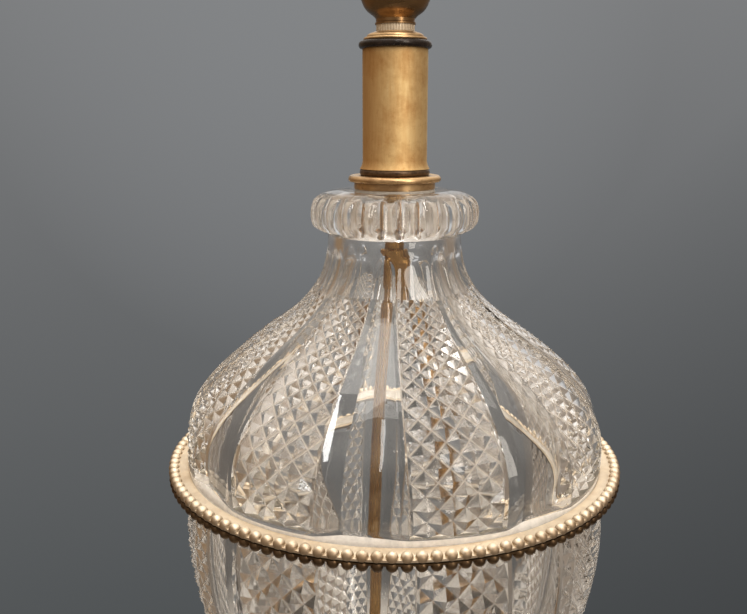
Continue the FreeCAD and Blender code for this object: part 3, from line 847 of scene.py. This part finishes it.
def materials():
    """Every look by its name; most names are the material slots of the record."""
    around = (1.0, 1.0, 0.12)       # rubbing marks drawn out upwards
    level = (0.15, 0.15, 1.0)       # and drawn out sideways
    return {
        "aged_brass": aged_brass(
            "aged_brass", rgb(0.77, 0.53, 0.28), rgb(0.40, 0.24, 0.12), level, 0.32
        ),
        # Darker brass for the socket cup: patina and painted shade.
        "cup_patina_and_shade": aged_brass(
            "cup_patina_and_shade", rgb(0.30, 0.18, 0.085), rgb(0.15, 0.085, 0.04), level, 0.30, 0.6
        ),
        "tube_brass": aged_brass(
            "tube_brass", rgb(0.87, 0.66, 0.345), rgb(0.62, 0.345, 0.12), around, 0.72, 0.8,
            turned=0.6, painted_left_shade=0.75
        ),
        "pale_brass": aged_brass(
            "pale_brass", rgb(0.77, 0.67, 0.525), rgb(0.57, 0.45, 0.31), level, 0.58, 0.8, 0.25
        ),
        "beaded_brass": aged_brass(
            "beaded_brass", rgb(0.88, 0.77, 0.61), rgb(0.65, 0.52, 0.37), level, 0.55, 0.8, 0.25,
            beaded=True
        ),
        # Near-black copy of the bead brass for the lower ring: painted shade.
        "painted_shade_beads": aged_brass(
            "painted_shade_beads", rgb(0.14, 0.09, 0.05), rgb(0.07, 0.042, 0.025), level, 0.40
        ),
        "pipe_brass": aged_brass(
            "pipe_brass", rgb(0.42, 0.25, 0.09), rgb(0.26, 0.135, 0.045), around, 0.25
        ),
        "dark_bronze": plain_solid(
            "dark_bronze", rgb(0.035, 0.022, 0.016), rgb(0.012, 0.008, 0.006), 0.27, 600.0,
            0.02 * MM, metallic=0.4
        ),
        "brown_bronze": plain_solid(
            "brown_bronze", rgb(0.15, 0.088, 0.045), rgb(0.06, 0.034, 0.018), 0.34, 600.0,
            0.02 * MM, metallic=0.6
        ),
        "rubber": plain_solid(
            "rubber", rgb(0.10, 0.09, 0.08), rgb(0.05, 0.045, 0.04), 0.6, 900.0, 0.03 * MM
        ),
        "clear_seal": plain_solid(
            "clear_seal", rgb(0.62, 0.56, 0.48), rgb(0.46, 0.41, 0.34), 0.5, 900.0, 0.02 * MM
        ),
        "felt": plain_solid(
            "felt", rgb(0.07, 0.15, 0.09), rgb(0.02, 0.06, 0.035), 0.95, 1600.0, 0.3 * MM
        ),
        "iron": plain_solid(
            "iron", rgb(0.17, 0.16, 0.155), rgb(0.07, 0.065, 0.06), 0.62, 500.0, 0.12 * MM, 0.7
        ),
        "steel": plain_solid(
            "steel", rgb(0.66, 0.66, 0.63), rgb(0.42, 0.42, 0.40), 0.34, 900.0, 0.01 * MM, 1.0
        ),
        "phenolic": plain_solid(
            "phenolic", rgb(0.05, 0.036, 0.028), rgb(0.02, 0.015, 0.012), 0.3, 500.0, 0.01 * MM
        ),
        "liner_board": plain_solid(
            "liner_board", rgb(0.42, 0.30, 0.18), rgb(0.25, 0.17, 0.10), 0.85, 1200.0, 0.08 * MM
        ),
        "cord_sheath": plain_solid(
            "cord_sheath", rgb(0.22, 0.135, 0.07), rgb(0.12, 0.07, 0.035), 0.42, 500.0, 0.02 * MM
        ),
    }


def dress_nodes(shelf):
    """Gives each CAD node its look; the crystals have none here, as they are rebuilt."""
    for subpart in frame["record"]["subparts"]:
        node = subpart["node"]
        material = shelf.get(NODE_LOOKS.get(node, subpart["material_slot"]))
        if material is None:
            continue
        for place in frame["nodes"][node].material_slots:
            place.material = material


# ---- Room ---------------------------------------------------------------------------------------
class WorldShader(Shader):
    """The same helper for the surroundings."""

    def __init__(self):
        world = bpy.data.worlds.new("room")
        bpy.context.scene.world = world
        world.use_nodes = True
        self.material = world
        self.tree = world.node_tree
        self.tree.nodes.clear()
        self.output = self.tree.nodes.new("ShaderNodeOutputWorld")


def backdrop_colors(shader, way, towards):
    """A grey wall, darker low down, with a painted pool of light behind the lamp and a painted shadow
    at right.
    """
    height = shader.node("ShaderNodeSeparateXYZ", {0: way}).outputs[2]
    wall = shader.node("ShaderNodeValToRGB", {0: shader.spread(height, -0.62, 0.2)})
    ramp = wall.color_ramp
    ramp.elements[0].color = rgb(0.066, 0.073, 0.076)
    ramp.elements[1].color = rgb(0.215, 0.219, 0.224)
    middle = ramp.elements.new(0.5)
    middle.color = rgb(0.136, 0.141, 0.145)
    # Painted pool of light on the wall behind the lamp.
    glow = towards((-0.06, 0.995, 0.08), 0.93, 1.0, 0.45)
    # Painted shadow of the lamp, low on the right of the wall.
    corner = towards((0.75, 0.0, -0.66), 0.28, 0.65, 0.62)
    lit = shader.blend(glow, wall.outputs[0], rgb(0.26, 0.27, 0.28))
    return shader.blend(corner, lit, rgb(0.035, 0.037, 0.039))


def room_colors(shader, way, towards):
    """The warm pale room that the glass and brass mirror, brown at the sides and dark below."""
    height = shader.node("ShaderNodeSeparateXYZ", {0: way}).outputs[2]
    left_furniture = towards((-0.87, 0.42, -0.1), 0.25, 0.75, 0.85)
    right_furniture = towards((0.9, 0.35, -0.1), 0.5, 0.9, 0.8)
    ceiling = shader.spread(height, 0.15, 0.75)
    ground = shader.spread(height, -0.25, -0.6)
    viewer = towards((0.0, -0.93, 0.37), 0.90, 0.975, 0.8)
    color = shader.blend(left_furniture, rgb(0.43, 0.365, 0.30), rgb(0.22, 0.13, 0.06))
    color = shader.blend(right_furniture, color, rgb(0.20, 0.15, 0.11))
    color = shader.blend(ceiling, color, rgb(0.95, 0.86, 0.76))
    color = shader.blend(ground, color, rgb(0.17, 0.145, 0.12))
    return shader.blend(viewer, color, rgb(0.10, 0.09, 0.08))


def room():
    """A grey wall as backdrop, and a warm pale room for the glass and brass to mirror."""
    shader = WorldShader()
    way = shader.node("ShaderNodeTexCoord").outputs["Generated"]

    def towards(aim, begin, full, share):
        """0 to share as a direction's cosine with aim goes from begin to full."""
        along = shader.node("ShaderNodeVectorMath", {0: way, 1: aim}, operation="DOT_PRODUCT")
        return shader.spread(along.outputs["Value"], begin, full, 0.0, share)

    backdrop = backdrop_colors(shader, way, towards)
    around = room_colors(shader, way, towards)
    straight_back = towards((0.0, 0.97, -0.22), 0.74, 0.90, 1.0)
    seen_in_glass = shader.blend(straight_back, around, backdrop)
    camera_ray = shader.node("ShaderNodeLightPath").outputs["Is Camera Ray"]
    color = shader.blend(camera_ray, seen_in_glass, backdrop)
    background = shader.node("ShaderNodeBackground", {"Color": color, "Strength": 1.0})
    shader.finish(background.outputs[0])


def soft_light(name, place, size, power, tint, aim=(0.0, 0.0, SEAM_Z + 0.05)):
    """A rectangular light of size in metres and power in watts, turned towards aim."""
    lamp = bpy.data.lights.new(name, "AREA")
    lamp.shape = "RECTANGLE"
    lamp.size, lamp.size_y = size
    lamp.energy = power
    lamp.color = tint
    holder = bpy.data.objects.new(name, lamp)
    holder.location = place
    holder.rotation_euler = (Vector(aim) - Vector(place)).to_track_quat("-Z", "Y").to_euler()
    holder.visible_camera = False
    bpy.context.scene.collection.objects.link(holder)
    return holder


def lights():
    """A tall key on the right, a narrow strip on the ceiling, a wide overhead and a rear fill."""
    soft_light(
        "key_right", (0.75, -1.15, 1.05), size=(0.35, 1.3), power=9.5, tint=(1.0, 0.93, 0.84)
    )
    strip = soft_light(
        "ceiling_strip", (0.145, -1.2, 1.55), size=(0.08, 1.6), power=7.0, tint=(1.0, 0.99, 0.97)
    )
    strip.rotation_euler = (0.0, 0.0, math.radians(-2.0))
    soft_light(
        "overhead", (0.0, 0.12, 1.7), size=(1.1, 1.1), power=10.5, tint=(1.0, 0.96, 0.90)
    )
    soft_light(
        "rear_fill", (0.3, 1.4, 0.9), size=(1.2, 0.8), power=1.2, tint=(0.93, 0.96, 1.0)
    )


def floor():
    """A pale floor, lit in a round pool that fades out into the backdrop."""
    radius = 0.42
    fade_begins = 0.215
    fade_ends = 0.285
    mesh = bpy.data.meshes.new("floor")
    work = bmesh.new()
    bmesh.ops.create_circle(work, cap_ends=True, radius=radius, segments=96)
    work.to_mesh(mesh)
    work.free()
    top = bpy.data.objects.new("floor", mesh)
    bpy.context.scene.collection.objects.link(top)
    shader = Shader("pale_floor")
    grain = shader.noise(30.0, detail=5.0)
    color = shader.blend(grain, rgb(0.40, 0.385, 0.365), rgb(0.45, 0.435, 0.41))
    pale = shader.principled(Base_Color=color, Roughness=0.75)
    fade = shader.node(
        "ShaderNodeMapRange",
        {"Value": shader.from_axis(), "From Min": fade_begins, "From Max": fade_ends},
        interpolation_type="SMOOTHSTEP",
    )
    gone = shader.node("ShaderNodeBsdfTransparent")
    faded = shader.mix(fade.outputs["Result"], pale, gone.outputs[0])
    mesh.materials.append(shader.finish(faded))


def camera():
    """430 mm in front of the lamp's axis, looking 12.6 degrees down at the shoulder."""
    looks_down = math.radians(12.58)
    view = bpy.data.cameras.new("camera")
    view.sensor_width = 36.0
    view.lens = 40.96
    view.clip_start = 0.01
    holder = bpy.data.objects.new("camera", view)
    holder.location = (-10.6 * MM, -430.0 * MM, SEAM_Z + 176.6 * MM)
    holder.rotation_euler = (math.radians(90.0) - looks_down, 0.0, 0.0)
    bpy.context.scene.collection.objects.link(holder)
    bpy.context.scene.camera = holder


def render_quality():
    """Enough bounces for light to cross both walls of both crystals."""
    scene = bpy.context.scene
    scene.view_settings.view_transform = "Standard"
    scene.cycles.max_bounces = 24
    scene.cycles.transmission_bounces = 22
    scene.cycles.glossy_bounces = 8
    scene.cycles.diffuse_bounces = 3
    scene.cycles.transparent_max_bounces = 24
    scene.cycles.use_denoising = True
    scene.cycles.sample_clamp_indirect = 8.0


# ---- Assembly -----------------------------------------------------------------------------------
def place_piece(piece, node, looks):
    """Puts a rebuilt piece in the place of a CAD node on the lamp's body."""
    for look in looks:
        piece.data.materials.append(look)
    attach(piece, "lamp_body")
    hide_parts(node)


def main():
    shelf = materials()
    dress_nodes(shelf)
    glass = [crystal_glass("cut_crystal", False), crystal_glass("ground_rim", True)]
    place_piece(upper_crystal(), "upper_crystal", glass)
    place_piece(lower_crystal(), "lower_crystal", glass)
    place_piece(felt_pad(), "felt_pad", [shelf["felt"]])
    room()
    lights()
    floor()
    camera()
    render_quality()


main()
